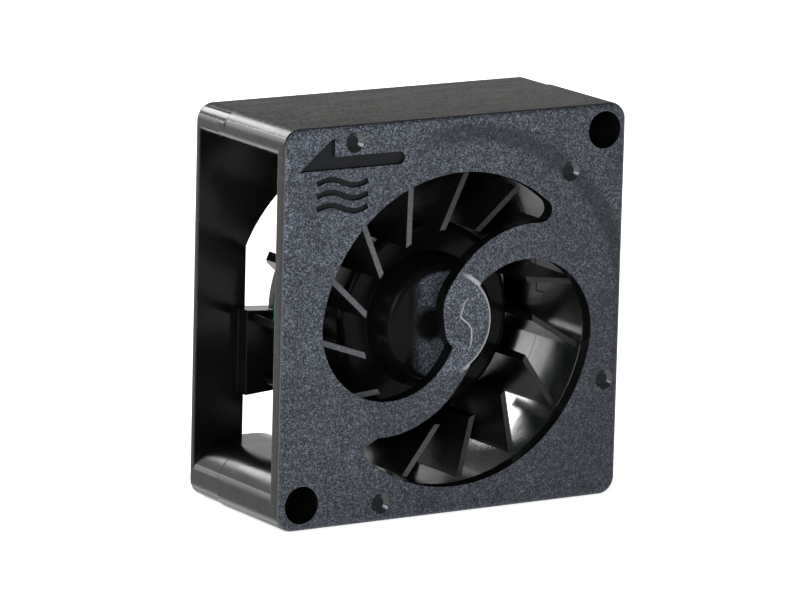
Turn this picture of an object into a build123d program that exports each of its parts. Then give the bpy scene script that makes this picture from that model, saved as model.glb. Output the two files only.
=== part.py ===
from build123d import *
import os
from math import atan2, cos, degrees, radians, sin, sqrt

os.makedirs("parts", exist_ok=True)

# Small radial cooling fan with one outlet, in millimetres.
# X runs to the right, Y from the front to the rear and Z up.
# The origin is under the middle of the housing, on the surface that it stands on.
# Depths are measured from the front face.

# Housing
WIDTH = 45.0
HEIGHT = 45.5
DEPTH = 20.0
CORNER_R = 2.0
EDGE_R = 0.6
FRONT_PLATE_T = 1.7
REAR_PLATE_T = 1.0
REAR_SHELL_DEPTH = 6.6
SHELL_STEP = 0.1
LIP_LENGTH = 1.4
LIP_T = 1.0
LIP_GAP = 0.1

# Walls round the volute, at the bottom, right and top
BOTTOM_WALL = 1.8
SIDE_WALL = 1.8
TOP_WALL = 3.45
TONGUE_ANGLE = 236.0
TONGUE_LEAD = 0.3
OUTLET_FLOOR = 6.55
FLOOR_LIP_R = 4.0
TOP_LIP_R = 1.3

# Mounting holes in two opposite corners
HOLE_R = 2.15
HOLE_INSET = 3.0

# Rotor axis, set off from the middle of the housing
AXIS_SHIFT = 0.6
AXIS_DROP = 1.65

# S-shaped guard in the front inlet
INLET_LIP = 0.4
LOBE_ANGLE = 170.0
ARM_TIP_WIDTH = 4.05
ARM_HUB_WIDTH = 2.85
ARM_TIP_R = 1.3
BOSS_R = 6.0
BOSS_SHIFT = (-1.5, 0.8)
BOSS_EDGE = 0.3
NOTCH = (-1.85, 0.6)
ARM_ANGLES = (88, 158)
LOBE_ARC = (-23, -107)

# Moulding dimples in the front face: distances from the nearest corner, and the bowl's sizes
TOP_DIMPLE = (8.9, 1.95)
GATE_DIMPLE = (7.4, 7.4)
RIGHT_DIMPLE = (2.0, 13.55)
LOW_DIMPLE = (13.35, 2.1)
DIMPLE_R = 1.2
DIMPLE_DEPTH = 0.45
DIMPLE_TAPER = 50

# Impeller
BLADES = 15
BLADE_T = 0.65
BLADE_DRAFT = 0.75
BLADE_LEAN = 11.9
BLADE_INSET = 0.8
BLADE_CORNER = 0.7
SCROLL_GAP = 1.7
HUB_R = 11.2
HUB_WALL = 0.9
HUB_ROOF = 1.0
HUB_ROUND = 0.9
NOSE_FACE_R = 6.1
NOSE_ROUND = 1.1
NOSE_FOOT_R = 7.8
NOSE_INSET = 1.8
NOSE_WALL = 1.2
CUP_INSET = 0.2

# Motor
YOKE_T = 0.5
YOKE_INSET = 0.3
MAGNET_T = 1.15
MAGNET_INSET = 0.2
AIR_GAP = 0.4
CORE_T = 3.8
CORE_RING_T = 1.1
TOOTH_WIDTH = 2.2
POLES = 4
POLE_SHOE_T = 0.8
POLE_ANGLE = 72.0
INSULATOR_T = 0.5
WINDING_T = 0.6
COIL_GAP = 0.1
WINDING_ROOF_GAP = 1.1
WINDING_BOARD_GAP = 1.1
PIN_R = 0.25
PIN_CIRCLE_R = 6.6
PIN_STOP = 0.1
FLANGE_T = 0.45
FLANGE_WIDTH = 4.4

# Shaft and its two ball bearings
SHAFT_R = 1.5
BEARING_OD = 7.0
BEARING_WIDTH = 3.0
BALLS = 7
BALL_R = 0.55
BALL_GAP = 0.05
RACE_LAND = 0.4
SHIELD_T = 0.15
SHIELD_GAP = 0.1
CAGE_T = 0.4
CAGE_WIDTH = 1.7
TUBE_WALL = 0.7
LEDGE_T = 0.6
LEDGE_R = 3.0
SPRING_WIRE_R = 0.18
SPRING_TURNS = 2.25
BUSH_WALL = 1.0
BUSH_BOSS_WALL = 1.2
BUSH_BOSS_DROP = 0.3
BUSH_NOSE_WALL = 0.5
SOCKET_RISE = 0.1
SHAFT_STOP = 0.15
REAR_BEARING_STOP = 0.7
TUBE_STOP = 0.2
TUBE_RIM = 0.2
RING_T = 0.3
RING_OUTER_R = 2.4
RING_MOUTH = 1.6
GROOVE_DEPTH = 0.3
SHAFT_CHAMFER = 0.2

# Motor base and circuit board
BASE_R = 14.0
BASE_T = 1.1
BASE_RECESS = 1.8
BASE_BOSS_T = 1.1
COLLAR_WALL = 0.8
COLLAR_RISE = 1.7
BOARD_R = 13.5
BOARD_T = 0.9
BLADE_BOARD_GAP = 0.4
CHIP_CIRCLE_R = 8.6
CHIP_STEP = 8
CHIP_EDGE = 0.1
HALL_CIRCLE_R = 9.0
HALL_SIZE = (2.9, 1.3, 0.75)
DRIVER_SIZE = (3.0, 1.6, 0.8)
CAPACITOR_SIZE = (0.8, 1.6, 0.6)
RESISTOR_SIZE = (0.5, 1.0, 0.35)
STRUT_WIDTH = 2.6
STRUT_ANGLES = (60.0, 350.0, 285.0)
REAR_INLET_LIP = 0.25
REAR_BAR = 6.5
WEB_DROP = 4.4
WEB_BAR_HALF = 4.9
WEB_BASE_HALF = 4.5
PLATE_OVERLAP = 0.8
CHANNEL_WALL = 0.9

# Clearances
SEAT_GAP = 0.03
RUN_GAP = 0.05

# Places that follow from the sizes
axis_x = AXIS_SHIFT
axis_z = HEIGHT / 2 - AXIS_DROP
left = -WIDTH / 2
parting = DEPTH - REAR_SHELL_DEPTH
scroll_bottom_r = axis_z - BOTTOM_WALL
scroll_right_r = WIDTH / 2 - axis_x - SIDE_WALL
scroll_top_r = HEIGHT - TOP_WALL - axis_z
tongue_r = scroll_bottom_r - TONGUE_LEAD
blade_tip_r = min(scroll_bottom_r, scroll_right_r, scroll_top_r) - SCROLL_GAP
inlet_r = blade_tip_r + INLET_LIP
hole_places = [(left + HOLE_INSET, HOLE_INSET), (-left - HOLE_INSET, HEIGHT - HOLE_INSET)]
dimple_places = [
    (left + TOP_DIMPLE[0], HEIGHT - TOP_DIMPLE[1]),
    (-left - GATE_DIMPLE[0], HEIGHT - GATE_DIMPLE[1]),
    (-left - RIGHT_DIMPLE[0], RIGHT_DIMPLE[1]),
    (left + LOW_DIMPLE[0], LOW_DIMPLE[1]),
]

base_rear = DEPTH - BASE_RECESS
base_front = base_rear - BASE_T
board_front = base_front - BOARD_T
blade_front = FRONT_PLATE_T + BLADE_INSET
blade_rear = board_front - BLADE_BOARD_GAP
core_rear = board_front - WINDING_BOARD_GAP - INSULATOR_T - WINDING_T
core_front = core_rear - CORE_T
winding_front = core_front - INSULATOR_T - WINDING_T
roof_inner = winding_front - WINDING_ROOF_GAP
roof_outer = roof_inner - HUB_ROOF
nose_front = FRONT_PLATE_T + NOSE_INSET
cup_rear = blade_rear - CUP_INSET
yoke_rear = cup_rear - YOKE_INSET
magnet_rear = yoke_rear - MAGNET_INSET

cup_inner_r = HUB_R - HUB_WALL
yoke_inner_r = cup_inner_r - YOKE_T
magnet_inner_r = yoke_inner_r - MAGNET_T
stator_r = magnet_inner_r - AIR_GAP
bearing_r = BEARING_OD / 2
tube_r = bearing_r + TUBE_WALL
core_bore_r = tube_r + SEAT_GAP
core_ring_r = core_bore_r + CORE_RING_T
shoe_inner_r = stator_r - POLE_SHOE_T
collar_r = tube_r + COLLAR_WALL
ball_circle_r = (SHAFT_R + bearing_r) / 2

collar_front = base_front - COLLAR_RISE
socket_floor = base_rear - SOCKET_RISE
shaft_end = socket_floor - SHAFT_STOP
rear_bearing = socket_floor - REAR_BEARING_STOP - BEARING_WIDTH
tube_front = roof_inner + YOKE_T + TUBE_STOP
front_bearing = tube_front + TUBE_RIM
bush_front = nose_front + NOSE_WALL
bush_r = SHAFT_R + BUSH_WALL
bush_boss_r = bush_r + BUSH_BOSS_WALL
bush_boss_rear = roof_inner + BUSH_BOSS_DROP


def at_depth(depth):
    """Plane across the fan at a depth, seen from the front: its x is X and its y is Z."""
    return Plane.XZ.offset(DEPTH / 2 - depth)


def on_axis(depth):
    """The same plane, with its origin on the rotor axis."""
    return Plane(origin=(axis_x, depth - DEPTH / 2, axis_z), x_dir=(1, 0, 0), z_dir=(0, -1, 0))


# Plane through the rotor axis for turned profiles: its x is the radius and its y the depth.
turned = Plane(origin=(axis_x, -DEPTH / 2, axis_z), x_dir=(1, 0, 0), z_dir=(0, 0, 1))
rotor_axis = Axis((axis_x, 0, axis_z), (0, 1, 0))


def polar(radius, angle):
    """Point at a radius and an angle in degrees round the rotor axis."""
    return (radius * cos(radians(angle)), radius * sin(radians(angle)))


def scroll_point(angle, grown):
    """Point of the volute wall, whose radius grows from the bottom by the right to the top."""
    if angle < 270:
        radius = tongue_r + TONGUE_LEAD * (angle - TONGUE_ANGLE) / (270 - TONGUE_ANGLE)
    elif angle < 360:
        radius = scroll_bottom_r + (scroll_right_r - scroll_bottom_r) * (angle - 270) / 90
    else:
        radius = scroll_right_r + (scroll_top_r - scroll_right_r) * (angle - 360) / 90
    x, z = polar(radius + grown, angle)
    return (axis_x + x, axis_z + z)


def cavity_outline(grown=0.0):
    """Inside outline of the housing: outlet, top wall, volute, tongue and outlet floor."""
    outside = left - 1
    ceiling = HEIGHT - TOP_WALL + grown
    volute = [scroll_point(450 - (450 - TONGUE_ANGLE) * step / 8, grown) for step in range(9)]
    tongue_turn = 270 - TONGUE_ANGLE
    tongue_slope = (-cos(radians(tongue_turn)), sin(radians(tongue_turn)))
    tongue_round = (OUTLET_FLOOR - volute[-1][1]) / (1 - cos(radians(tongue_turn)))
    floor_start = (volute[-1][0] - tongue_round * sin(radians(tongue_turn)), OUTLET_FLOOR)
    with BuildSketch() as outline:
        with BuildLine():
            Polyline((left, OUTLET_FLOOR - FLOOR_LIP_R), (outside, OUTLET_FLOOR - FLOOR_LIP_R),
                     (outside, ceiling + TOP_LIP_R), (left, ceiling + TOP_LIP_R))
            JernArc((left, ceiling + TOP_LIP_R), (0, -1), TOP_LIP_R, 90)
            Line((left + TOP_LIP_R, ceiling), (axis_x, ceiling))
            Spline(volute, tangents=[(1, 0), tongue_slope])
            JernArc(volute[-1], tongue_slope, tongue_round, tongue_turn)
            Line(floor_start, (left + FLOOR_LIP_R, OUTLET_FLOOR))
            JernArc((left + FLOOR_LIP_R, OUTLET_FLOOR), (-1, 0), FLOOR_LIP_R, 90)
        make_face()
    return outline.sketch


cavity = cavity_outline()


# One comma-shaped opening about the rotor axis: a round lobe, the inlet circle and the arm's edge.
lobe_r = inlet_r / 2 - RUN_GAP
lobe_x, lobe_z = polar(inlet_r - lobe_r, LOBE_ANGLE)
touch = polar(inlet_r, LOBE_ANGLE)


def arm_point(angle):
    """Point of the arm's edge, at the arm's width from the opposite lobe."""
    share = (angle - ARM_ANGLES[0]) / (ARM_ANGLES[1] - ARM_ANGLES[0])
    width = ARM_TIP_WIDTH + (ARM_HUB_WIDTH - ARM_TIP_WIDTH) * share
    x, z = polar(lobe_r + width, angle)
    return (-lobe_x + x, -lobe_z + z)


with BuildSketch() as comma:
    arm_edge = [arm_point(ARM_ANGLES[0] + (ARM_ANGLES[1] - ARM_ANGLES[0]) * step / 4) for step in range(5)]
    tip = (sqrt(inlet_r ** 2 - arm_edge[0][1] ** 2), arm_edge[0][1])
    lobe_end, lobe_low = [(lobe_x + x, lobe_z + z) for x, z in (polar(lobe_r, angle) for angle in LOBE_ARC)]
    with BuildLine():
        Line(tip, arm_edge[0])
        Spline(arm_edge + [NOTCH, lobe_end], tangents=[(-1, 0), (0.75, -0.7)])
        ThreePointArc(lobe_end, lobe_low, touch)
        ThreePointArc(touch, polar(inlet_r, 100), tip)
    make_face()
    fillet(comma.vertices().sort_by(Axis.X)[-1], ARM_TIP_R)

# Locating lip round the upper half of the cavity, on the front shell's rim.
def lip_outline(gap):
    """Outer edge of the lip, or of its groove when a gap is given, with the cavity inside it."""
    with BuildSketch() as band:
        add(cavity_outline(LIP_T + gap))
        with Locations((0, axis_z - gap)):
            Rectangle(WIDTH, HEIGHT, align=(Align.CENTER, Align.MIN), mode=Mode.INTERSECT)
    return band.sketch


with BuildPart() as lip:
    with BuildSketch(at_depth(parting)):
        add(lip_outline(0))
    extrude(amount=-LIP_LENGTH)
    with BuildSketch(at_depth(parting)):
        add(cavity)
    extrude(amount=-LIP_LENGTH, mode=Mode.SUBTRACT)

# Front shell
with BuildPart() as front_shell:
    with BuildSketch(at_depth(0)):
        with Locations((0, HEIGHT / 2)):
            RectangleRounded(WIDTH, HEIGHT, CORNER_R)
    extrude(amount=-parting)
    fillet(front_shell.faces().sort_by(Axis.Y)[0].edges(), EDGE_R)
    with BuildSketch(at_depth(FRONT_PLATE_T)):
        add(cavity)
    extrude(amount=-DEPTH, mode=Mode.SUBTRACT)
    add(lip)
    with BuildSketch(on_axis(0)):
        add(comma.sketch, rotation=180)
        with Locations(BOSS_SHIFT):
            Circle(BOSS_R, mode=Mode.SUBTRACT)
        add(comma.sketch)
    extrude(amount=-FRONT_PLATE_T, mode=Mode.SUBTRACT)
    boss_side = (axis_x + BOSS_SHIFT[0] + BOSS_R, -DEPTH / 2, axis_z + BOSS_SHIFT[1])
    chamfer(front_shell.edges().sort_by_distance(boss_side)[0], BOSS_EDGE)
    with BuildSketch(at_depth(0)):
        with Locations(*hole_places):
            Circle(HOLE_R)
    extrude(amount=-DEPTH, mode=Mode.SUBTRACT)
    with BuildSketch(at_depth(0)):
        with Locations(*dimple_places):
            Circle(DIMPLE_R)
    extrude(amount=-DIMPLE_DEPTH, taper=DIMPLE_TAPER, mode=Mode.SUBTRACT)
front_shell.part.label = "front_shell"
export_step(front_shell.part, "parts/front_shell.step")

# Rear shell: walls, rear plate, motor base with its struts, and the web with the lead channel
web_left = left + REAR_BAR - PLATE_OVERLAP
web_right = axis_x - BASE_R + 2
web_middle = axis_z - WEB_DROP
with BuildPart() as rear_shell:
    with BuildSketch(at_depth(parting)):
        with Locations((0, HEIGHT / 2)):
            RectangleRounded(WIDTH - 2 * SHELL_STEP, HEIGHT - 2 * SHELL_STEP, CORNER_R)
    extrude(amount=-REAR_SHELL_DEPTH)
    fillet(rear_shell.faces().sort_by(Axis.Y)[-1].edges(), EDGE_R)
    with BuildSketch(at_depth(parting)):
        add(cavity)
    extrude(amount=-(REAR_SHELL_DEPTH - REAR_PLATE_T), mode=Mode.SUBTRACT)
    with BuildSketch(at_depth(parting)):
        add(lip_outline(LIP_GAP))
    extrude(amount=-(LIP_LENGTH + LIP_GAP), mode=Mode.SUBTRACT)
    with BuildSketch(at_depth(DEPTH)):
        with Locations((axis_x, axis_z)):
            Circle(inlet_r + REAR_INLET_LIP)
            Rectangle(WIDTH, HEIGHT, align=(Align.MAX, Align.MAX))
        with Locations((left + REAR_BAR, 0)):
            Rectangle(WIDTH, HEIGHT, align=(Align.MIN, Align.MIN), mode=Mode.INTERSECT)
        add(cavity, mode=Mode.INTERSECT)
    extrude(amount=REAR_PLATE_T, mode=Mode.SUBTRACT)
    with BuildSketch(on_axis(base_front)):
        Circle(BASE_R)
    extrude(amount=-BASE_T)
    with BuildSketch(on_axis(base_front)):
        for angle in STRUT_ANGLES:
            with Locations(polar(BASE_R - 1, angle)):
                Rectangle(inlet_r - BASE_R + 2, STRUT_WIDTH, rotation=angle,
                          align=(Align.MIN, Align.CENTER))
    extrude(amount=-(DEPTH - base_front))
    with BuildSketch(at_depth(base_front)):
        with BuildLine():
            Polyline((web_left, web_middle + WEB_BAR_HALF), (web_right, web_middle + WEB_BASE_HALF),
                     (web_right, web_middle - WEB_BASE_HALF), (web_left, web_middle - WEB_BAR_HALF),
                     close=True)
        make_face()
    extrude(amount=-(DEPTH - base_front))
    with BuildSketch(at_depth(DEPTH)):
        with Locations((left + REAR_BAR + CHANNEL_WALL, web_middle)):
            Rectangle(web_right - left - REAR_BAR, 2 * (WEB_BASE_HALF - CHANNEL_WALL),
                      align=(Align.MIN, Align.CENTER))
    extrude(amount=BASE_RECESS, mode=Mode.SUBTRACT)
    with BuildSketch(on_axis(DEPTH)):
        Circle(BASE_R - CHANNEL_WALL)
    extrude(amount=BASE_RECESS, mode=Mode.SUBTRACT)
    with BuildSketch(on_axis(collar_front)):
        Circle(collar_r)
    extrude(amount=-(base_rear + BASE_BOSS_T - collar_front))
    with BuildSketch(on_axis(collar_front)):
        Circle(tube_r + SEAT_GAP)
    extrude(amount=-(socket_floor - collar_front), mode=Mode.SUBTRACT)
    with BuildSketch(at_depth(0)):
        with Locations(*hole_places):
            Circle(HOLE_R)
    extrude(amount=-DEPTH, mode=Mode.SUBTRACT)
rear_shell.part.label = "rear_shell"
export_step(rear_shell.part, "parts/rear_shell.step")

# One blade about the Y axis: a leaning plate, thicker at the rear, cut to the impeller's envelope
blade_root = polar(HUB_R, 0)
blade_end = polar(blade_tip_r, -BLADE_LEAN)
blade_run = Vector(*blade_end) - Vector(*blade_root)
blade_angle = degrees(atan2(blade_run.Y, blade_run.X))
blade_middle = (Vector(*blade_end) + Vector(*blade_root)) / 2
with BuildPart() as blade:
    with BuildSketch(at_depth(blade_front)):
        with Locations((blade_middle.X, blade_middle.Y)):
            Rectangle(blade_run.length + 2, BLADE_T, rotation=blade_angle)
    extrude(amount=-(blade_rear - blade_front), taper=-BLADE_DRAFT)
    with BuildSketch(Plane(origin=(0, -DEPTH / 2, 0), x_dir=(1, 0, 0), z_dir=(0, 0, 1))):
        with BuildLine():
            Polyline((HUB_R, blade_front), (blade_tip_r, blade_front),
                     (blade_tip_r, blade_rear - BLADE_CORNER), (blade_tip_r - BLADE_CORNER, blade_rear),
                     (HUB_R - HUB_WALL / 2, blade_rear), (HUB_R - HUB_WALL / 2, roof_outer + HUB_ROUND),
                     (HUB_R, roof_outer + HUB_ROUND), close=True)
        make_face()
    revolve(axis=Axis.Y, mode=Mode.INTERSECT)

# Impeller: hub cup with its nose, turned about the rotor axis, and the blades
nose_shoulder = nose_front + NOSE_ROUND
nose_foot_inner = NOSE_FOOT_R - NOSE_WALL
with BuildPart() as impeller:
    with BuildSketch(turned):
        with BuildLine():
            Line((0, nose_front), (NOSE_FACE_R, nose_front))
            JernArc((NOSE_FACE_R, nose_front), (1, 0), NOSE_ROUND, 90)
            Polyline((NOSE_FACE_R + NOSE_ROUND, nose_shoulder), (NOSE_FOOT_R, roof_outer),
                     (HUB_R - HUB_ROUND, roof_outer))
            JernArc((HUB_R - HUB_ROUND, roof_outer), (1, 0), HUB_ROUND, 90)
            Polyline((HUB_R, roof_outer + HUB_ROUND), (HUB_R, cup_rear), (cup_inner_r, cup_rear),
                     (cup_inner_r, roof_inner), (nose_foot_inner, roof_inner),
                     (NOSE_FACE_R, bush_front), (bush_boss_r, bush_front),
                     (bush_boss_r, bush_boss_rear), (bush_r, bush_boss_rear),
                     (bush_r, bush_front), (0, bush_front), (0, nose_front))
        make_face()
    revolve(axis=rotor_axis)
    with Locations((axis_x, 0, axis_z)):
        for index in range(BLADES):
            add(blade.part, rotation=(0, index * 360 / BLADES, 0))
impeller.part.label = "impeller"
export_step(impeller.part, "parts/impeller.step")

# Steel yoke: a drawn cup in the hub
with BuildPart() as rotor_yoke:
    with BuildSketch(turned):
        with BuildLine():
            Polyline((nose_foot_inner, roof_inner), (cup_inner_r - SEAT_GAP, roof_inner),
                     (cup_inner_r - SEAT_GAP, yoke_rear), (yoke_inner_r, yoke_rear),
                     (yoke_inner_r, roof_inner + YOKE_T), (nose_foot_inner, roof_inner + YOKE_T),
                     close=True)
        make_face()
    revolve(axis=rotor_axis)
rotor_yoke.part.label = "rotor_yoke"
export_step(rotor_yoke.part, "parts/rotor_yoke.step")


def turned_ring(inner_r, outer_r, front, rear):
    """Plain ring round the rotor axis between two depths."""
    with BuildPart() as ring:
        with BuildSketch(on_axis(front)):
            Circle(outer_r)
            Circle(inner_r, mode=Mode.SUBTRACT)
        extrude(amount=-(rear - front))
    return ring.part


rotor_magnet = turned_ring(magnet_inner_r, yoke_inner_r - SEAT_GAP, roof_inner + YOKE_T, magnet_rear)
rotor_magnet.label = "rotor_magnet"
export_step(rotor_magnet, "parts/rotor_magnet.step")

# Brass bush in the hub, with a nose that bears on the front bearing's inner ring
with BuildPart() as shaft_bush:
    with BuildSketch(turned):
        with BuildLine():
            Polyline((SHAFT_R + SEAT_GAP, bush_front), (bush_r - SEAT_GAP, bush_front),
                     (bush_r - SEAT_GAP, bush_boss_rear), (SHAFT_R + BUSH_NOSE_WALL, bush_boss_rear),
                     (SHAFT_R + BUSH_NOSE_WALL, front_bearing), (SHAFT_R + SEAT_GAP, front_bearing),
                     close=True)
        make_face()
    revolve(axis=rotor_axis)
shaft_bush.part.label = "shaft_bush"
export_step(shaft_bush.part, "parts/shaft_bush.step")

# Shaft, with a groove for the retaining ring
groove_front = rear_bearing + BEARING_WIDTH
groove_rear = groove_front + RING_T
with BuildPart() as shaft:
    with BuildSketch(on_axis(bush_front)):
        Circle(SHAFT_R)
    extrude(amount=-(shaft_end - bush_front))
    chamfer(shaft.edges().group_by(Axis.Y)[-1], SHAFT_CHAMFER)
    with BuildSketch(on_axis(groove_front)):
        Circle(SHAFT_R + 1)
        Circle(SHAFT_R - GROOVE_DEPTH, mode=Mode.SUBTRACT)
    extrude(amount=-RING_T, mode=Mode.SUBTRACT)
shaft.part.label = "shaft"
export_step(shaft.part, "parts/shaft.step")

# Retaining ring: an open ring in the groove
with BuildPart() as retaining_ring:
    with BuildSketch(on_axis(groove_front)):
        Circle(RING_OUTER_R)
        Circle(SHAFT_R - GROOVE_DEPTH + SEAT_GAP, mode=Mode.SUBTRACT)
        Rectangle(RING_OUTER_R + 1, RING_MOUTH, align=(Align.MIN, Align.CENTER), mode=Mode.SUBTRACT)
    extrude(amount=-RING_T)
retaining_ring.part.label = "retaining_ring"
export_step(retaining_ring.part, "parts/retaining_ring.step")

# Brass tube that holds both bearings, with a ledge behind the front one
ledge_front = front_bearing + BEARING_WIDTH
ledge_rear = ledge_front + LEDGE_T
with BuildPart() as bearing_tube:
    with BuildSketch(turned):
        with BuildLine():
            Polyline((bearing_r + SEAT_GAP, tube_front), (tube_r, tube_front), (tube_r, socket_floor),
                     (bearing_r + SEAT_GAP, socket_floor), (bearing_r + SEAT_GAP, ledge_rear),
                     (LEDGE_R, ledge_rear), (LEDGE_R, ledge_front),
                     (bearing_r + SEAT_GAP, ledge_front), close=True)
        make_face()
    revolve(axis=rotor_axis)
bearing_tube.part.label = "bearing_tube"
export_step(bearing_tube.part, "parts/bearing_tube.step")

# Preload spring between the ledge and the rear bearing's outer ring
spring_r = bearing_r - SPRING_WIRE_R - RUN_GAP * 2
spring_length = rear_bearing - ledge_rear - 2 * SPRING_WIRE_R
with BuildPart() as preload_spring:
    with BuildLine() as spring_path:
        Helix(spring_length / SPRING_TURNS, spring_length, spring_r,
              center=(axis_x, ledge_rear + SPRING_WIRE_R - DEPTH / 2, axis_z), direction=(0, 1, 0))
    with BuildSketch(Plane(origin=spring_path.line @ 0, z_dir=spring_path.line % 0)):
        Circle(SPRING_WIRE_R)
    sweep()
preload_spring.part.label = "preload_spring"
export_step(preload_spring.part, "parts/preload_spring.step")


def build_bearing(name, front):
    """Ball bearing from a front depth: two rings, balls, cage and two shields."""
    middle = front + BEARING_WIDTH / 2
    rear = front + BEARING_WIDTH
    race_r = BALL_R + BALL_GAP
    inner_land = ball_circle_r - RACE_LAND
    outer_land = ball_circle_r + RACE_LAND
    shield_seat_r = outer_land + SHIELD_T / 2
    race = Plane(origin=(axis_x, middle - DEPTH / 2, axis_z), x_dir=(1, 0, 0), z_dir=(0, 0, 1))

    with BuildPart() as outer_ring:
        with BuildSketch(on_axis(front)):
            Circle(bearing_r)
            Circle(outer_land, mode=Mode.SUBTRACT)
        extrude(amount=-BEARING_WIDTH)
        with BuildSketch(on_axis(front), on_axis(rear - SHIELD_T)):
            Circle(shield_seat_r)
        extrude(amount=-SHIELD_T, mode=Mode.SUBTRACT)
        with BuildSketch(race):
            with Locations((ball_circle_r, 0)):
                Circle(race_r)
        revolve(axis=rotor_axis, mode=Mode.SUBTRACT)

    with BuildPart() as inner_ring:
        with BuildSketch(on_axis(front)):
            Circle(inner_land)
            Circle(SHAFT_R + SEAT_GAP, mode=Mode.SUBTRACT)
        extrude(amount=-BEARING_WIDTH)
        with BuildSketch(race):
            with Locations((ball_circle_r, 0)):
                Circle(race_r)
        revolve(axis=rotor_axis, mode=Mode.SUBTRACT)

    ball_places = [polar(ball_circle_r, index * 360 / BALLS) for index in range(BALLS)]
    ball_centres = [(axis_x + x, middle - DEPTH / 2, axis_z + z) for x, z in ball_places]
    with BuildPart() as balls:
        with Locations(*ball_centres):
            Sphere(BALL_R)

    with BuildPart() as cage:
        with BuildSketch(on_axis(middle - CAGE_WIDTH / 2)):
            Circle(ball_circle_r + CAGE_T / 2)
            Circle(ball_circle_r - CAGE_T / 2, mode=Mode.SUBTRACT)
        extrude(amount=-CAGE_WIDTH)
        for index in range(BALLS):
            x, z = polar(1, index * 360 / BALLS)
            with BuildSketch(Plane(origin=(axis_x, middle - DEPTH / 2, axis_z), x_dir=(0, 1, 0),
                                   z_dir=(x, 0, z))):
                Circle(race_r)
            extrude(amount=bearing_r, mode=Mode.SUBTRACT)

    with BuildPart() as shields:
        with BuildSketch(on_axis(front), on_axis(rear - SHIELD_T)):
            Circle(shield_seat_r - SEAT_GAP)
            Circle(inner_land + SHIELD_GAP, mode=Mode.SUBTRACT)
        extrude(amount=-SHIELD_T)

    pieces = {"outer_ring": outer_ring, "inner_ring": inner_ring, "balls": balls, "cage": cage,
              "shields": shields}
    for piece_name, piece in pieces.items():
        piece.part.label = f"{name}_{piece_name}"
        export_step(piece.part, f"parts/{name}_{piece_name}.step")


build_bearing("front_bearing", front_bearing)
build_bearing("rear_bearing", rear_bearing)

# Stator: lamination stack on the bearing tube
tooth_angles = [index * 360 / POLES for index in range(POLES)]
slot_angles = [angle + 180 / POLES for angle in tooth_angles]
with BuildPart() as stator_core:
    with BuildSketch(on_axis(core_front)):
        Circle(stator_r)
        Circle(shoe_inner_r, mode=Mode.SUBTRACT)
        for angle in slot_angles:
            with BuildLine():
                Polyline((0, 0), polar(2 * stator_r, angle - (180 / POLES - POLE_ANGLE / 2)),
                         polar(2 * stator_r, angle + (180 / POLES - POLE_ANGLE / 2)), close=True)
            make_face(mode=Mode.SUBTRACT)
        for angle in tooth_angles:
            Rectangle(shoe_inner_r + POLE_SHOE_T / 2, TOOTH_WIDTH, rotation=angle,
                      align=(Align.MIN, Align.CENTER))
        Circle(core_ring_r)
        Circle(core_bore_r, mode=Mode.SUBTRACT)
    extrude(amount=-CORE_T)
stator_core.part.label = "stator_core"
export_step(stator_core.part, "parts/stator_core.step")

# Insulators over both ends of the stack; the rear one stands on the collar and holds the pins
insulator_width = TOOTH_WIDTH + 2 * INSULATOR_T
with BuildPart() as stator_insulator_front:
    with BuildSketch(on_axis(core_front - INSULATOR_T)):
        Circle(core_ring_r)
        for angle in tooth_angles:
            Rectangle(shoe_inner_r + POLE_SHOE_T / 2, insulator_width, rotation=angle,
                      align=(Align.MIN, Align.CENTER))
        Circle(core_bore_r, mode=Mode.SUBTRACT)
    extrude(amount=-INSULATOR_T)
    with BuildSketch(on_axis(winding_front)):
        for angle in tooth_angles:
            with Locations(polar(shoe_inner_r - SEAT_GAP, angle)):
                Rectangle(FLANGE_T, FLANGE_WIDTH, rotation=angle, align=(Align.MIN, Align.CENTER))
    extrude(amount=-(INSULATOR_T + WINDING_T))
stator_insulator_front.part.label = "stator_insulator_front"
export_step(stator_insulator_front.part, "parts/stator_insulator_front.step")

with BuildPart() as stator_insulator_rear:
    with BuildSketch(on_axis(core_rear)):
        Circle(core_ring_r)
        for angle in tooth_angles:
            Rectangle(shoe_inner_r + POLE_SHOE_T / 2, insulator_width, rotation=angle,
                      align=(Align.MIN, Align.CENTER))
        for angle in slot_angles:
            Rectangle(PIN_CIRCLE_R + 3 * PIN_R, 6 * PIN_R, rotation=angle, align=(Align.MIN, Align.CENTER))
        Circle(core_bore_r, mode=Mode.SUBTRACT)
    extrude(amount=-INSULATOR_T)
    with BuildSketch(on_axis(core_rear)):
        Circle(core_ring_r)
        Circle(core_bore_r, mode=Mode.SUBTRACT)
    extrude(amount=-(collar_front - core_rear))
    with BuildSketch(on_axis(core_rear)):
        for angle in tooth_angles:
            with Locations(polar(shoe_inner_r - SEAT_GAP, angle)):
                Rectangle(FLANGE_T, FLANGE_WIDTH, rotation=angle, align=(Align.MIN, Align.CENTER))
    extrude(amount=-(INSULATOR_T + WINDING_T))
stator_insulator_rear.part.label = "stator_insulator_rear"
export_step(stator_insulator_rear.part, "parts/stator_insulator_rear.step")

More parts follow.
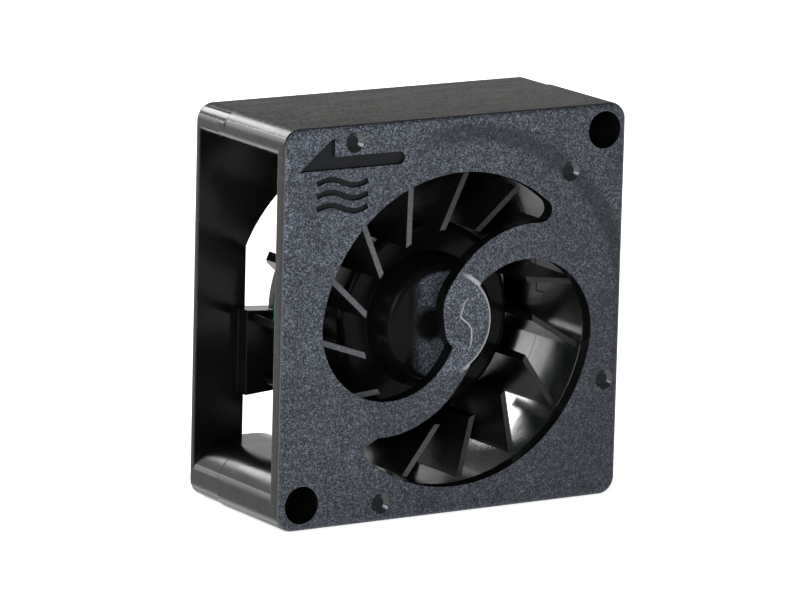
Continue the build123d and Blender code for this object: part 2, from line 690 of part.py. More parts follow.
# Windings: one rounded coil round each tooth, between the core's ring and the flanges
coil_width = insulator_width + 2 * SEAT_GAP
coil_front_r = core_ring_r + COIL_GAP
coil_rear_r = sqrt(shoe_inner_r ** 2 - (coil_width / 2 + WINDING_T) ** 2) - COIL_GAP
coil_height = CORE_T + 2 * INSULATOR_T + 2 * SEAT_GAP
coil_middle = (core_front + core_rear) / 2 - DEPTH / 2
with BuildPart() as stator_coils:
    for angle in tooth_angles:
        x, z = polar(coil_front_r, angle)
        outward = (cos(radians(angle)), 0, sin(radians(angle)))
        with BuildSketch(Plane(origin=(axis_x + x, coil_middle, axis_z + z), x_dir=(0, 1, 0),
                               z_dir=outward)):
            RectangleRounded(coil_height + 2 * (WINDING_T - SEAT_GAP), coil_width + 2 * WINDING_T,
                             WINDING_T)
            Rectangle(coil_height, coil_width, mode=Mode.SUBTRACT)
        extrude(amount=coil_rear_r - coil_front_r)
stator_coils.part.label = "stator_coils"
export_step(stator_coils.part, "parts/stator_coils.step")

# Pins that carry the windings' ends to the board
with BuildPart() as winding_pins:
    with BuildSketch(on_axis(core_rear + INSULATOR_T)):
        with Locations(*[polar(PIN_CIRCLE_R, angle) for angle in slot_angles]):
            Circle(PIN_R)
    extrude(amount=-(base_front - PIN_STOP - core_rear - INSULATOR_T))
winding_pins.part.label = "winding_pins"
export_step(winding_pins.part, "parts/winding_pins.step")

# Circuit board on the motor base, round the collar
with BuildPart() as circuit_board:
    with BuildSketch(on_axis(board_front)):
        Circle(BOARD_R)
        Circle(collar_r + RUN_GAP * 2, mode=Mode.SUBTRACT)
        with Locations(*[polar(PIN_CIRCLE_R, angle) for angle in slot_angles]):
            Circle(PIN_R + SEAT_GAP, mode=Mode.SUBTRACT)
    extrude(amount=-BOARD_T)
circuit_board.part.label = "circuit_board"
export_step(circuit_board.part, "parts/circuit_board.step")


def board_chips(name, radius, angles, size):
    """Rectangular parts standing on the board, turned to face the axis."""
    length, width, height = size
    with BuildPart() as chips:
        with BuildSketch(on_axis(board_front)):
            for angle in angles:
                with Locations(polar(radius, angle)):
                    Rectangle(width, length, rotation=angle)
        extrude(amount=height)
        chamfer(chips.faces().sort_by(Axis.Y)[0:len(angles)].edges(), CHIP_EDGE)
    chips.part.label = name
    export_step(chips.part, f"parts/{name}.step")


board_chips("hall_sensor", HALL_CIRCLE_R, [slot_angles[0]], HALL_SIZE)
board_chips("driver_chip", CHIP_CIRCLE_R, [slot_angles[2]], DRIVER_SIZE)
board_chips("chip_capacitors", CHIP_CIRCLE_R, [slot_angles[1] + CHIP_STEP, slot_angles[1] - CHIP_STEP],
            CAPACITOR_SIZE)
board_chips("chip_resistors", CHIP_CIRCLE_R, [slot_angles[3] + CHIP_STEP, slot_angles[3] - CHIP_STEP],
            RESISTOR_SIZE)
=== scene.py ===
from math import cos, pi, radians, sin

import bmesh
import bpy
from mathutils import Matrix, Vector


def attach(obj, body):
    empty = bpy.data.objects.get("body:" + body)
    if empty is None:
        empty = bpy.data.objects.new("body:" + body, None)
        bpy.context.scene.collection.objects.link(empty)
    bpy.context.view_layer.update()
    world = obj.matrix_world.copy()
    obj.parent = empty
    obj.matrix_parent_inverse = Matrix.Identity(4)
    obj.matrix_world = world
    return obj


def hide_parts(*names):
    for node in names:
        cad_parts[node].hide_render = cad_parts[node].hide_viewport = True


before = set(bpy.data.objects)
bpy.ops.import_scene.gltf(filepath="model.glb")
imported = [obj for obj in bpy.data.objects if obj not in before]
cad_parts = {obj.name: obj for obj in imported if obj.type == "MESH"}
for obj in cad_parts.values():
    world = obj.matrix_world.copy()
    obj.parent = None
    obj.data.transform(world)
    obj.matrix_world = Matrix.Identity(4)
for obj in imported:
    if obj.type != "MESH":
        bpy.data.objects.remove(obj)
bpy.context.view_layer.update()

MM = 0.001
AXIS_X, AXIS_Z = 0.6, 21.1
HALF_WIDTH, HALF_HEIGHT = 22.5, 22.75
FRONT_Y, PARTING_Y, REAR_Y = -10.0, 3.4, 10.0
BLADE_FRONT_Y = -7.95
BOSS = (-0.9, 21.9)
DIMPLES = [(-13.6, 43.55), (15.1, 38.1), (20.5, 13.55), (-9.15, 2.1)]


# Node helpers

def new_material(name):
    material = bpy.data.materials.new(name)
    material.use_nodes = True
    return material, material.node_tree, material.node_tree.nodes["Principled BSDF"]


def feed(tree, socket, value):
    """Sets a socket to a value, or links another node's output to it."""
    if isinstance(value, bpy.types.NodeSocket):
        tree.links.new(value, socket)
    else:
        socket.default_value = value


def place_of(tree):
    """Object coordinates, which are row coordinates in metres."""
    return tree.nodes.new("ShaderNodeTexCoord").outputs["Object"]


def split(tree, vector):
    made = tree.nodes.new("ShaderNodeSeparateXYZ")
    feed(tree, made.inputs[0], vector)
    return made.outputs["X"], made.outputs["Y"], made.outputs["Z"]


def noise(tree, place, scale, detail=2.0, roughness=0.5):
    made = tree.nodes.new("ShaderNodeTexNoise")
    feed(tree, made.inputs["Vector"], place)
    made.inputs["Scale"].default_value = scale
    made.inputs["Detail"].default_value = detail
    made.inputs["Roughness"].default_value = roughness
    return made.outputs["Fac"]


def cells(tree, place, scale):
    """Random value per cell and the distance to the cell's point."""
    made = tree.nodes.new("ShaderNodeTexVoronoi")
    feed(tree, made.inputs["Vector"], place)
    made.inputs["Scale"].default_value = scale
    return split(tree, made.outputs["Color"])[0], made.outputs["Distance"]


def calc(tree, operation, first, second=0.0):
    made = tree.nodes.new("ShaderNodeMath")
    made.operation = operation
    feed(tree, made.inputs[0], first)
    feed(tree, made.inputs[1], second)
    return made.outputs["Value"]


def product(tree, first, *others):
    """All the values multiplied."""
    for other in others:
        first = calc(tree, "MULTIPLY", first, other)
    return first


def inverse(tree, value):
    return calc(tree, "SUBTRACT", 1.0, value)


def span(tree, value, low, high, to_low=0.0, to_high=1.0):
    """Smooth step from to_low at low to to_high at high."""
    made = tree.nodes.new("ShaderNodeMapRange")
    made.interpolation_type = "SMOOTHSTEP"
    for socket, number in zip(made.inputs, (value, low, high, to_low, to_high)):
        feed(tree, socket, number)
    return made.outputs["Result"]


def mix_colour(tree, share, first, second):
    made = tree.nodes.new("ShaderNodeMix")
    made.data_type = "RGBA"
    feed(tree, made.inputs["Factor"], share)
    feed(tree, made.inputs[6], first)
    feed(tree, made.inputs[7], second)
    return made.outputs[2]


def mix_value(tree, share, first, second):
    made = tree.nodes.new("ShaderNodeMix")
    for socket, value in zip(made.inputs, (share, None, first, second)):
        if value is not None:
            feed(tree, socket, value)
    return made.outputs[0]


def bump(tree, height, strength, distance, below=None):
    made = tree.nodes.new("ShaderNodeBump")
    made.inputs["Strength"].default_value = strength
    made.inputs["Distance"].default_value = distance
    feed(tree, made.inputs["Height"], height)
    if below is not None:
        feed(tree, made.inputs["Normal"], below)
    return made.outputs["Normal"]


def rounded(tree, radius):
    """Normal that rounds sharp edges by a radius, and a mask that is 1 on those edges."""
    made = tree.nodes.new("ShaderNodeBevel")
    made.samples = 6
    made.inputs["Radius"].default_value = radius
    plain = tree.nodes.new("ShaderNodeNewGeometry").outputs["Normal"]
    dot = tree.nodes.new("ShaderNodeVectorMath")
    dot.operation = "DOT_PRODUCT"
    feed(tree, dot.inputs[0], made.outputs["Normal"])
    feed(tree, dot.inputs[1], plain)
    return made.outputs["Normal"], span(tree, dot.outputs["Value"], 0.995, 0.90)


# Moulded plastics

# The bright grain colour is for painted glints of the grain's facets.
GRAIN_DARK, GRAIN_PAINTED_GLINT = (0.011, 0.0135, 0.019, 1), (0.245, 0.275, 0.328, 1)
WALL_DARK, WALL_PALE = (0.012, 0.012, 0.0115, 1), (0.034, 0.033, 0.031, 1)
DUST_DARK, DUST_PALE = (0.006, 0.0058, 0.0046, 1), (0.056, 0.053, 0.044, 1)
# The inner colours are painted shade: inside surfaces, the wheel among them, are painted far darker than
# the outside walls of the same plastic.
SHADED_INNER_DARK, SHADED_INNER_PALE = (0.0028, 0.0028, 0.003, 1), (0.0075, 0.0075, 0.008, 1)
SUNK, EDGE_WEAR_AND_HIGHLIGHT = (0.008, 0.009, 0.0115, 1), (0.05, 0.05, 0.052, 1)
# The second colour here is the light grey of a painted highlight, on the guard boss's right edge and on
# the blades' front edges.
SEAM, PAINTED_HIGHLIGHT = (0.001, 0.001, 0.001, 1), (0.46, 0.47, 0.50, 1)
GRAIN_ROUGH, SUNK_ROUGH = 0.46, 0.20
GRAIN_GLOSS, FLOOR_GLOSS, BOWL_GLOSS, CORNER_GLOSS = 0.20, 0.12, 0.9, 0.85
FLOW_R, FLOW_HALF = 22.4, 1.7
RIM_R, RIM_HALF = 5.83, 0.34
DIMPLE_R, DIMPLE_BELOW = 1.24, 0.015
VOLUTE_R = 17.4
NOSE_GRAIN_R, UNGRAINED_SPOT = 6.0, (-0.9, 21.2)


def distance_from(tree, x, z, at_x, at_z):
    """Distance in the plane of the front face from a point in millimetres."""
    dx = calc(tree, "SUBTRACT", x, at_x * MM)
    dz = calc(tree, "SUBTRACT", z, at_z * MM)
    return calc(tree, "SQRT", calc(tree, "ADD", product(tree, dx, dx), product(tree, dz, dz)))


def ring_mask(tree, distance, radius, half_width):
    """1 on a ring of a radius in millimetres, and 0 beyond its half width."""
    off = calc(tree, "ABSOLUTE", calc(tree, "SUBTRACT", distance, radius * MM))
    return span(tree, off, half_width * MM, half_width * 0.3 * MM)


def down_to(tree, y, full, none):
    """1 down to a depth in millimetres below the front face, and 0 from a greater depth on."""
    return span(tree, y, (FRONT_Y + none) * MM, (FRONT_Y + full) * MM)


def flow_band(tree, x, z):
    """Flow mark that curves round the inlet, from the top to the right side."""
    band = ring_mask(tree, distance_from(tree, x, z, AXIS_X, AXIS_Z), FLOW_R, FLOW_HALF)
    side = calc(tree, "ADD", x, product(tree, z, 0.9))
    return product(tree, band, span(tree, side, 31 * MM, 39 * MM))


def outer_walls(tree, x, y, z):
    """1 on the housing's outside, and 0 on its inner surfaces."""
    sides = calc(tree, "GREATER_THAN", calc(tree, "ABSOLUTE", x), (HALF_WIDTH - 0.3) * MM)
    from_middle = calc(tree, "ABSOLUTE", calc(tree, "SUBTRACT", z, HALF_HEIGHT * MM))
    ends = calc(tree, "GREATER_THAN", from_middle, (HALF_HEIGHT - 0.35) * MM)
    rear = calc(tree, "GREATER_THAN", y, (REAR_Y - 0.2) * MM)
    return calc(tree, "MAXIMUM", calc(tree, "MAXIMUM", sides, ends), rear)


def polished_wall(tree, x, z, facing_y, smear):
    """1 on the volute's upright wall, low on the right, where it shines most."""
    low_right = product(tree, span(tree, x, 5 * MM, 9 * MM), span(tree, z, 18.9 * MM, 18.3 * MM))
    upright = span(tree, calc(tree, "ABSOLUTE", facing_y), 0.6, 0.4)
    radius = distance_from(tree, x, z, AXIS_X, AXIS_Z)
    far_out = span(tree, radius, (VOLUTE_R - 0.4) * MM, (VOLUTE_R + 0.4) * MM)
    return product(tree, low_right, upright, far_out, span(tree, smear, 0.35, 0.60, 0.5, 1.0))


def sparkle(tree, place):
    """Brightness of the spark-eroded grain's cells, painted glints of its facets, and its pits."""
    spark, spark_gap = cells(tree, place, 6600)
    small, small_gap = cells(tree, place, 10500)
    bright = calc(tree, "ADD", product(tree, calc(tree, "POWER", spark, 2.9), 0.75),
                  product(tree, calc(tree, "POWER", small, 2.9), 0.45))
    cloud = calc(tree, "ADD", noise(tree, place, 1500, 3.0), noise(tree, place, 120, 3.0))
    pits = calc(tree, "ADD", product(tree, spark_gap, 0.7), product(tree, small_gap, 0.5))
    return product(tree, bright, span(tree, cloud, 0.55, 1.45, 0.65, 1.35)), pits


def streaks(tree, place):
    """Noise in streaks, for the dust on the top."""
    mapping = tree.nodes.new("ShaderNodeMapping")
    feed(tree, mapping.inputs["Vector"], place)
    mapping.inputs["Scale"].default_value = (1, 5, 1)
    long_streaks = noise(tree, mapping.outputs["Vector"], 130, 6.0, 0.75)
    return calc(tree, "ADD", long_streaks, noise(tree, place, 2600, 2.0))


def moulded(name, marks, gloss=0.24):
    """Black moulded plastic: spark-eroded grain on what faces the front, smooth elsewhere.

    marks(tree, x, y, z) gives the grain's mask, a shade from 0 to 1 that darkens it, partly painted
    shade, and a mask of edges painted with a highlight. gloss is the specular level of the inner
    surfaces.
    """
    material, tree, shader = new_material(name)
    place = place_of(tree)
    x, y, z = split(tree, place)
    facing_x, facing_y, facing_z = split(tree, tree.nodes.new("ShaderNodeNewGeometry").outputs["Normal"])
    grain_area, shade, pale = marks(tree, x, y, z)
    grained = product(tree, span(tree, facing_y, -0.35, -0.70), grain_area)
    outside = outer_walls(tree, x, y, z)
    upward = span(tree, facing_z, 0.75, 0.97)
    sunk = product(tree, down_to(tree, y, 0.6, 0.85), span(tree, facing_y, -0.20, -0.50))

    glint, pits = sparkle(tree, place)
    scuff = noise(tree, place, 380, 5.0, 0.7)
    smear = noise(tree, place, 90, 4.0, 0.6)
    wiped = streaks(tree, place)
    edge_normal, edge = rounded(tree, 0.16 * MM)

    # The grain's bright cells are painted glints, darkened by the shade that marks() gives.
    grain_colour = mix_colour(tree, product(tree, glint, inverse(tree, shade)), GRAIN_DARK, GRAIN_PAINTED_GLINT)
    dust = mix_colour(tree, span(tree, wiped, 0.88, 1.14), DUST_DARK, DUST_PALE)
    wall_colour = mix_colour(tree, upward, mix_colour(tree, scuff, WALL_DARK, WALL_PALE), dust)
    # Painted shade on the inner surfaces.
    shaded_inner_colour = mix_colour(tree, smear, SHADED_INNER_DARK, SHADED_INNER_PALE)
    colour = mix_colour(tree, outside, shaded_inner_colour, wall_colour)
    colour = mix_colour(tree, sunk, colour, SUNK)
    # Lighter rounded edges on the outside: partly edge wear, partly a painted highlight.
    colour = mix_colour(tree, product(tree, edge, 0.6, outside), colour, EDGE_WEAR_AND_HIGHLIGHT)
    off_parting = calc(tree, "ABSOLUTE", calc(tree, "SUBTRACT", y, PARTING_Y * MM))
    parting = product(tree, span(tree, off_parting, 0.10 * MM, 0.03 * MM), outside)
    colour = mix_colour(tree, parting, colour, SEAM)
    colour = mix_colour(tree, grained, colour, grain_colour)
    # Painted highlight: where the pale mask is 1, the colour turns to the light grey of a painted
    # highlight.
    feed(tree, shader.inputs["Base Color"], mix_colour(tree, pale, colour, PAINTED_HIGHLIGHT))

    wall_rough = mix_value(tree, upward, span(tree, scuff, 0.35, 0.72, 0.18, 0.34),
                           span(tree, wiped, 0.80, 1.30, 0.45, 0.65))
    inner_rough = span(tree, smear, 0.30, 0.70, 0.13, 0.27)
    rough = mix_value(tree, sunk, mix_value(tree, outside, inner_rough, wall_rough), SUNK_ROUGH)
    feed(tree, shader.inputs["Roughness"], mix_value(tree, grained, rough, GRAIN_ROUGH))

    grain_normal = bump(tree, product(tree, pits, grained), 0.75, 0.00010, edge_normal)
    specks = product(tree, noise(tree, place, 3600, 2.0), outside, 0.30)
    ripple = calc(tree, "ADD", noise(tree, place, 260, 2.0), specks)
    feed(tree, shader.inputs["Normal"], bump(tree, ripple, 0.25, 0.00010, grain_normal))

    polished = product(tree, polished_wall(tree, x, z, facing_y, smear), inverse(tree, outside))
    inner_gloss = mix_value(tree, polished, gloss * 0.6, gloss * 4.2)
    corner = span(tree, calc(tree, "ABSOLUTE", product(tree, facing_x, facing_z)), 0.15, 0.45)
    outer_gloss = mix_value(tree, corner, span(tree, facing_x, -0.80, -0.96, 0.45, 0.10), CORNER_GLOSS)
    dusty_gloss = mix_value(tree, upward, 1.0, span(tree, wiped, 0.88, 1.14, 0.24, 0.82))
    plain_gloss = mix_value(tree, outside, inner_gloss, product(tree, outer_gloss, dusty_gloss))
    sunk_gloss = span(tree, facing_y, -0.97, -0.90, FLOOR_GLOSS, BOWL_GLOSS)
    plain_gloss = mix_value(tree, sunk, plain_gloss, sunk_gloss)
    feed(tree, shader.inputs["Specular IOR Level"], mix_value(tree, grained, plain_gloss, GRAIN_GLOSS))
    feed(tree, shader.inputs["Coat Weight"], product(tree, polished, gloss * 3.0))
    shader.inputs["Coat Roughness"].default_value = 0.12
    return material


def front_marks(tree, x, y, z):
    """Grain on the front face but not in its dimples, darker on the flow mark, with painted shade that
    grows away from the key light and a painted highlight that lightens the guard boss, and a mask of
    painted highlight on the boss's right edge."""
    grain_area = down_to(tree, y, 0.20, 0.28)
    below = calc(tree, "GREATER_THAN", y, (FRONT_Y + DIMPLE_BELOW) * MM)
    for place in DIMPLES:
        bowl = calc(tree, "LESS_THAN", distance_from(tree, x, z, *place), DIMPLE_R * MM)
        grain_area = calc(tree, "SUBTRACT", grain_area, product(tree, bowl, below))
    grain_area = calc(tree, "MAXIMUM", grain_area, 0.0)

    from_boss = distance_from(tree, x, z, *BOSS)
    # Painted shade: the grain darkens from the upper left to the lower right, away from the key light;
    # on the guard boss it is painted lighter instead, a painted highlight.
    painted_falloff = span(tree, calc(tree, "SUBTRACT", x, z), -75 * MM, 35 * MM, 0, 0.62)
    painted_falloff = product(tree, painted_falloff, span(tree, from_boss, 5.0 * MM, 6.4 * MM, -0.3, 1))
    flow = inverse(tree, product(tree, flow_band(tree, x, z), 0.6))
    shade = inverse(tree, product(tree, inverse(tree, painted_falloff), flow))

    # Painted highlight on the guard boss's right edge: a ring on the boss's right side, at the front
    # face.
    right = span(tree, x, 0.6 * MM, 2.4 * MM)
    near = calc(tree, "LESS_THAN", y, (FRONT_Y + 0.2) * MM)
    return grain_area, shade, product(tree, ring_mask(tree, from_boss, RIM_R, RIM_HALF), right, near)


def rear_marks(tree, x, y, z):
    """No grain, shade or painted edge highlight: the rear shell is smooth all over."""
    return 0.0, 0.0, 0.0


def wheel_marks(tree, x, y, z):
    """Grain on the nose's face but not on its left side or in a spot near its middle; the blades' front
    edges get a painted highlight, brighter on the left towards the key light.
    """
    blade_edge = calc(tree, "LESS_THAN", y, BLADE_FRONT_Y * MM)
    flecks = span(tree, cells(tree, place_of(tree), 7200)[0], 0.1, 0.9, 0.8, 1.25)
    # Painted highlight on the blades' front edges, brighter on the left towards the key light.
    painted_edge_highlight = product(tree, blade_edge, span(tree, x, 4 * MM, -8 * MM, 0.07, 0.26), flecks)
    from_axis = distance_from(tree, x, z, AXIS_X, AXIS_Z)
    nose = span(tree, from_axis, (NOSE_GRAIN_R + 0.3) * MM, (NOSE_GRAIN_R - 0.3) * MM)
    # The nose is left without grain on its left side and in a round spot near its middle, which keep the
    # darker inner colour.
    off_ungrained_spot = span(tree, distance_from(tree, x, z, *UNGRAINED_SPOT), 1.4 * MM, 2.6 * MM)
    return product(tree, nose, off_ungrained_spot, span(tree, x, -3.6 * MM, -1.2 * MM)), 0.1, painted_edge_highlight


def coloured(name, low, high, rough, scale, metallic=0.0, depth=0.00002, stretch=(1, 1, 1)):
    """Material with fine mottling between two colours, and a light bump at the same scale."""
    material, tree, shader = new_material(name)
    mapping = tree.nodes.new("ShaderNodeMapping")
    feed(tree, mapping.inputs["Vector"], place_of(tree))
    mapping.inputs["Scale"].default_value = stretch
    place = mapping.outputs["Vector"]
    fine = noise(tree, place, scale, 4.0, 0.6)
    broad = noise(tree, place, scale / 9, 2.0)
    share = calc(tree, "ADD", product(tree, fine, 0.6), product(tree, broad, 0.4))
    feed(tree, shader.inputs["Base Color"], mix_colour(tree, span(tree, share, 0.35, 0.65), low, high))
    feed(tree, shader.inputs["Roughness"], span(tree, fine, 0.3, 0.7, rough - 0.08, rough + 0.10))
    feed(tree, shader.inputs["Normal"], bump(tree, fine, 0.5, depth, rounded(tree, 0.08 * MM)[0]))
    shader.inputs["Metallic"].default_value = metallic
    return material


MATERIALS = {
    "housing": moulded("housing_plastic", front_marks),
    "wheel": moulded("wheel_plastic", wheel_marks, 0.10),
    "rear": moulded("rear_plastic", rear_marks),
    # Pale grey for a painted highlight on the guard boss's seam.
    "highlight_strip": coloured("painted_highlight_plastic", (0.26, 0.27, 0.30, 1), (0.42, 0.43, 0.47, 1), 0.30, 3000),
    "steel": coloured("steel", (0.46, 0.46, 0.45, 1), (0.62, 0.62, 0.61, 1), 0.28, 2600, 1.0),
    "stack": coloured("stack_steel", (0.20, 0.20, 0.20, 1), (0.33, 0.33, 0.32, 1), 0.42, 1800, 1.0,
                      0.00004, (1, 9, 1)),
    "magnet": coloured("magnet", (0.030, 0.027, 0.025, 1), (0.060, 0.054, 0.050, 1), 0.55, 3200),
    "brass": coloured("brass", (0.62, 0.44, 0.17, 1), (0.78, 0.58, 0.27, 1), 0.30, 2200, 1.0),
    "copper": coloured("copper_wire", (0.42, 0.12, 0.035, 1), (0.66, 0.24, 0.08, 1), 0.30, 3600, 0.6,
                       0.00008, (1, 3, 1)),
    "ivory": coloured("insulator_plastic", (0.62, 0.57, 0.44, 1), (0.74, 0.69, 0.56, 1), 0.45, 1500),
    "board": coloured("board_mask", (0.010, 0.16, 0.085, 1), (0.030, 0.33, 0.20, 1), 0.30, 1400),
    "chip": coloured("chip_plastic", (0.010, 0.010, 0.011, 1), (0.022, 0.022, 0.023, 1), 0.48, 4200),
    "ceramic": coloured("ceramic", (0.30, 0.20, 0.11, 1), (0.42, 0.29, 0.17, 1), 0.40, 3800),
}

FINISHES = {
    "front_shell": "housing", "rear_shell": "rear", "impeller": "wheel",
    "rotor_yoke": "steel", "rotor_magnet": "magnet", "shaft_bush": "brass", "shaft": "steel",
    "retaining_ring": "steel", "bearing_tube": "brass", "preload_spring": "steel",
    "stator_core": "stack", "stator_insulator_front": "ivory", "stator_insulator_rear": "ivory",
    "stator_coils": "copper", "winding_pins": "brass", "circuit_board": "board",
    "hall_sensor": "chip", "driver_chip": "chip", "chip_capacitors": "ceramic", "chip_resistors": "chip",
}
for end in ("front_bearing", "rear_bearing"):
    FINISHES[f"{end}_cage"] = "brass"
    for part in ("outer_ring", "inner_ring", "balls", "shields"):
        FINISHES[f"{end}_{part}"] = "steel"

for name, finish in FINISHES.items():
    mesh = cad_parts[name].data
    mesh.materials.clear()
    mesh.materials.append(MATERIALS[finish])


# Wheel and board as the photograph shows them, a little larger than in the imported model

PACKED_BLADES_Y, BLADES_MOVED = -7.3, 0.5
BOARD_RIM_R, RIM_MOVED = 13.3, 0.45


def reshaped(node, body, material, moved):
    """Copy of a node's mesh that stands for it, with each vertex put where moved() says."""
    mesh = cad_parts[node].data.copy()
    mesh.name = f"{node}_seen"
    for vertex in mesh.vertices:
        vertex.co = moved(vertex.co)
    mesh.update()
    mesh.materials.clear()
    mesh.materials.append(material)
    made = bpy.data.objects.new(f"{node}_seen", mesh)
    bpy.context.collection.objects.link(made)
    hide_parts(node)
    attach(made, body)


def blades_forward(place):
    """The blades' front edges, nearer to the guard."""
    return place - Vector((0, BLADES_MOVED * MM, 0)) if place.y < PACKED_BLADES_Y * MM else place


def board_wider(place):
    """The board's rim, further out."""
    out = Vector((place.x - AXIS_X * MM, 0, place.z - AXIS_Z * MM))
    return place + out.normalized() * RIM_MOVED * MM if out.length > BOARD_RIM_R * MM else place


reshaped("impeller", "rotor", MATERIALS["wheel"], blades_forward)
reshaped("circuit_board", "housing", MATERIALS["board"], board_wider)


# Engraved marks in the front face

def prism(name, outline, depth, proud=0.2):
    """Closed solid from an outline of (x, z) in millimetres, through the front face to a depth."""
    shape = bmesh.new()
    near = [shape.verts.new((x * MM, (FRONT_Y - proud) * MM, z * MM)) for x, z in outline]
    far = [shape.verts.new((x * MM, (FRONT_Y + depth) * MM, z * MM)) for x, z in outline]
    shape.faces.new(near)
    shape.faces.new(far[::-1])
    for index in range(len(outline)):
        after = (index + 1) % len(outline)
        shape.faces.new((near[after], near[index], far[index], far[after]))
    bmesh.ops.recalc_face_normals(shape, faces=shape.faces)
    mesh = bpy.data.meshes.new(name)
    shape.to_mesh(mesh)
    shape.free()
    made = bpy.data.objects.new(name, mesh)
    bpy.context.collection.objects.link(made)
    return made


def round_end(x, z, radius, start, turn, steps=8):
    """Points of an arc about (x, z), in degrees."""
    angles = [radians(start + turn * step / steps) for step in range(steps + 1)]
    return [(x + radius * cos(angle), z + radius * sin(angle)) for angle in angles]


def wave_stroke(x, z, length, swing, width, steps=24):
    """Outline of a wavy stroke, from left to right."""
    middle = [(x + length * step / steps, z + swing * sin(2 * pi * step / steps))
              for step in range(steps + 1)]
    upper, lower = [], []
    for step, (px, pz) in enumerate(middle):
        slope = swing * 2 * pi / length * cos(2 * pi * step / steps)
        size = (1 + slope * slope) ** 0.5
        side = (-slope / size * width / 2, width / 2 / size)
        upper.append((px + side[0], pz + side[1]))
        lower.append((px - side[0], pz - side[1]))
    return lower + upper[::-1]


def band(points, width):
    """Outline of a band of a width along a line of points, pointed at both ends."""
    left_side, right_side = [], []
    for before, here, after in zip(points, points[1:], points[2:]):
        run = (Vector(after) - Vector(before)).normalized() * width / 2
        left_side.append((here[0] - run.y, here[1] + run.x))
        right_side.append((here[0] + run.y, here[1] - run.x))
    return [points[0], *left_side, points[-1], *right_side[::-1]]


BOSS_SEAM = [(1.95, 24.75), (1.35, 24.2), (1.0, 23.2), (0.85, 22.6), (1.25, 22.2), (2.0, 21.6),
             (2.35, 21.0), (2.4, 20.2), (2.3, 19.3), (2.15, 18.6)]
ARROW = [(-20.75, 40.66), *round_end(-7.8, 41.38, 0.72, -90, 180), (-16.2, 42.1), (-16.2, 43.95),
         (-16.35, 44.15), (-16.6, 44.1)]
ARROW_DEPTH, WAVE_DEPTH, SEAM_DEPTH = 0.35, 0.3, 0.04
WAVE_X, WAVE_Z, WAVE_PITCH = -18.4, 36.3, 1.45
WAVE_LENGTH, WAVE_SWING, WAVE_WIDTH, SEAM_WIDTH = 6.6, 0.42, 0.62, 0.2
WELD = 0.002
SHARP_ANGLE = 28

marks = [prism("arrow_cutter", ARROW, ARROW_DEPTH)]
for row in range(3):
    stroke = wave_stroke(WAVE_X, WAVE_Z + WAVE_PITCH * row, WAVE_LENGTH, WAVE_SWING, WAVE_WIDTH)
    marks.append(prism(f"wave_cutter_{row}", stroke, WAVE_DEPTH))
marks.append(prism("seam_cutter", band(BOSS_SEAM, SEAM_WIDTH), SEAM_DEPTH))

cad_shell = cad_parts["front_shell"]
shell_mesh = bpy.data.meshes.new("front_shell_marked")
weld = bmesh.new()
weld.from_mesh(cad_shell.data)
for layer in list(weld.loops.layers.float_vector.values()):
    weld.loops.layers.float_vector.remove(layer)
bmesh.ops.remove_doubles(weld, verts=weld.verts, dist=WELD * MM)
weld.to_mesh(shell_mesh)
weld.free()
shell = bpy.data.objects.new("front_shell_marked", shell_mesh)
bpy.context.collection.objects.link(shell)
for mark in marks:
    cut = shell.modifiers.new(mark.name, "BOOLEAN")
    cut.operation = "DIFFERENCE"
    cut.solver = "EXACT"
    cut.object = mark
bpy.context.view_layer.update()
cut_mesh = bpy.data.meshes.new_from_object(shell.evaluated_get(bpy.context.evaluated_depsgraph_get()))
if "custom_normal" in cut_mesh.attributes:
    cut_mesh.attributes.remove(cut_mesh.attributes["custom_normal"])
shell.modifiers.clear()
shell.data = cut_mesh
cut_mesh.materials.clear()
cut_mesh.materials.append(MATERIALS["housing"])
cut_mesh.polygons.foreach_set("use_smooth", [True] * len(cut_mesh.polygons))
cut_mesh.set_sharp_from_angle(angle=radians(SHARP_ANGLE))
for mark in marks:
    bpy.data.objects.remove(mark)
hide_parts("front_shell")
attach(shell, "housing")

# Painted highlight: a pale strip, flush in the front face, draws the boss's S-shaped seam as a bright
# line.
boss_seam = prism("boss_seam", band(BOSS_SEAM, SEAM_WIDTH), SEAM_DEPTH, 0)
boss_seam.data.materials.append(MATERIALS["highlight_strip"])
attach(boss_seam, "housing")


# Floor, lights and camera

FAN_MIDDLE = (0, 0, 0.022)
FLOOR_HALF = 3
CAMERA_PLACE = (-0.380596, -0.601383, 0.170861)
CAMERA_TURN = (1.365433, -0.025241, -0.557866)
LENS, SENSOR_WIDTH = 288.707, 36

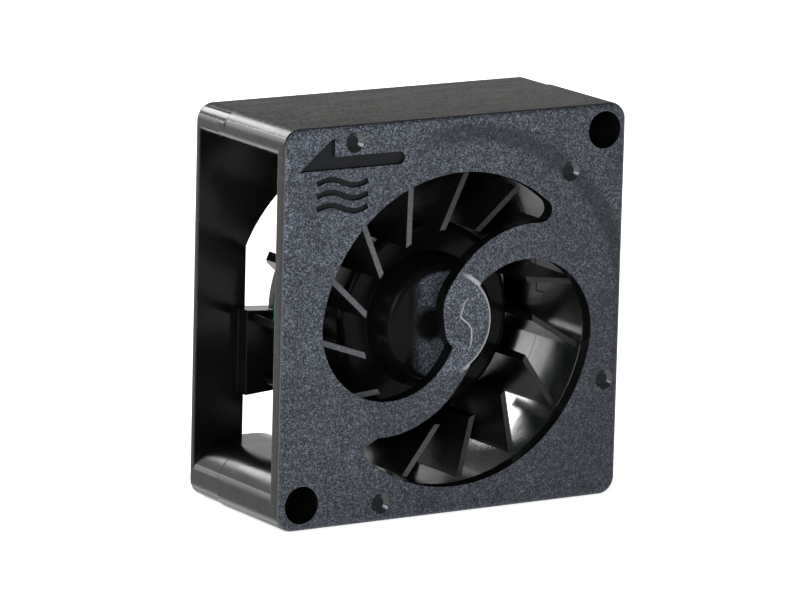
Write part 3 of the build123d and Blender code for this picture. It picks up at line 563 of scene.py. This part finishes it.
floor_mesh = bpy.data.meshes.new("floor")
floor_corners = [(side_x * FLOOR_HALF, side_y * FLOOR_HALF, 0)
                 for side_x, side_y in ((-1, -1), (1, -1), (1, 1), (-1, 1))]
floor_mesh.from_pydata(floor_corners, [], [(0, 1, 2, 3)])
floor = bpy.data.objects.new("floor", floor_mesh)
bpy.context.collection.objects.link(floor)
floor_material, floor_tree, floor_shader = new_material("floor")
pale = mix_colour(floor_tree, noise(floor_tree, place_of(floor_tree), 40, 3.0),
                  (0.90, 0.90, 0.90, 1), (0.94, 0.94, 0.94, 1))
feed(floor_tree, floor_shader.inputs["Base Color"], pale)
feed(floor_tree, floor_shader.inputs["Emission Color"], pale)
floor_shader.inputs["Emission Strength"].default_value = 0.85
floor_shader.inputs["Roughness"].default_value = 0.9
floor_mesh.materials.append(floor_material)

world = bpy.data.worlds.new("studio")
world.use_nodes = True
world.node_tree.nodes["Background"].inputs["Color"].default_value = (0.95, 0.97, 1, 1)
world.node_tree.nodes["Background"].inputs["Strength"].default_value = 0.16
bpy.context.scene.world = world


def softbox(name, place, width, height, watts, colour=(1, 1, 1)):
    """Rectangular lamp that points at the fan's middle."""
    data = bpy.data.lights.new(name, "AREA")
    data.shape = "RECTANGLE"
    data.size = width
    data.size_y = height
    data.energy = watts
    data.color = colour
    lamp = bpy.data.objects.new(name, data)
    lamp.location = place
    lamp.rotation_euler = (Vector(FAN_MIDDLE) - Vector(place)).to_track_quat("-Z", "Y").to_euler()
    lamp.visible_camera = False
    bpy.context.collection.objects.link(lamp)


softbox("key", (-0.15, -0.15, 0.10), 0.09, 0.09, 0.15, (0.92, 0.96, 1))
softbox("backdrop_left", (-0.5, 0.85, 0.25), 1.2, 0.5, 4.5)
softbox("backdrop_right", (0.6, 0.85, 0.25), 1.0, 0.5, 1.35)
softbox("overhead", (-0.25, 0.72, 0.54), 0.45, 0.26, 6.5)
softbox("right", (0.70, -0.08, 0.14), 0.5, 0.4, 1.1)

bpy.context.scene.view_settings.view_transform = "Standard"

camera_data = bpy.data.cameras.new("camera")
camera_data.lens = LENS
camera_data.sensor_width = SENSOR_WIDTH
camera_data.clip_end = 10
camera = bpy.data.objects.new("camera", camera_data)
camera.location = CAMERA_PLACE
camera.rotation_euler = CAMERA_TURN
bpy.context.collection.objects.link(camera)
bpy.context.scene.camera = camera
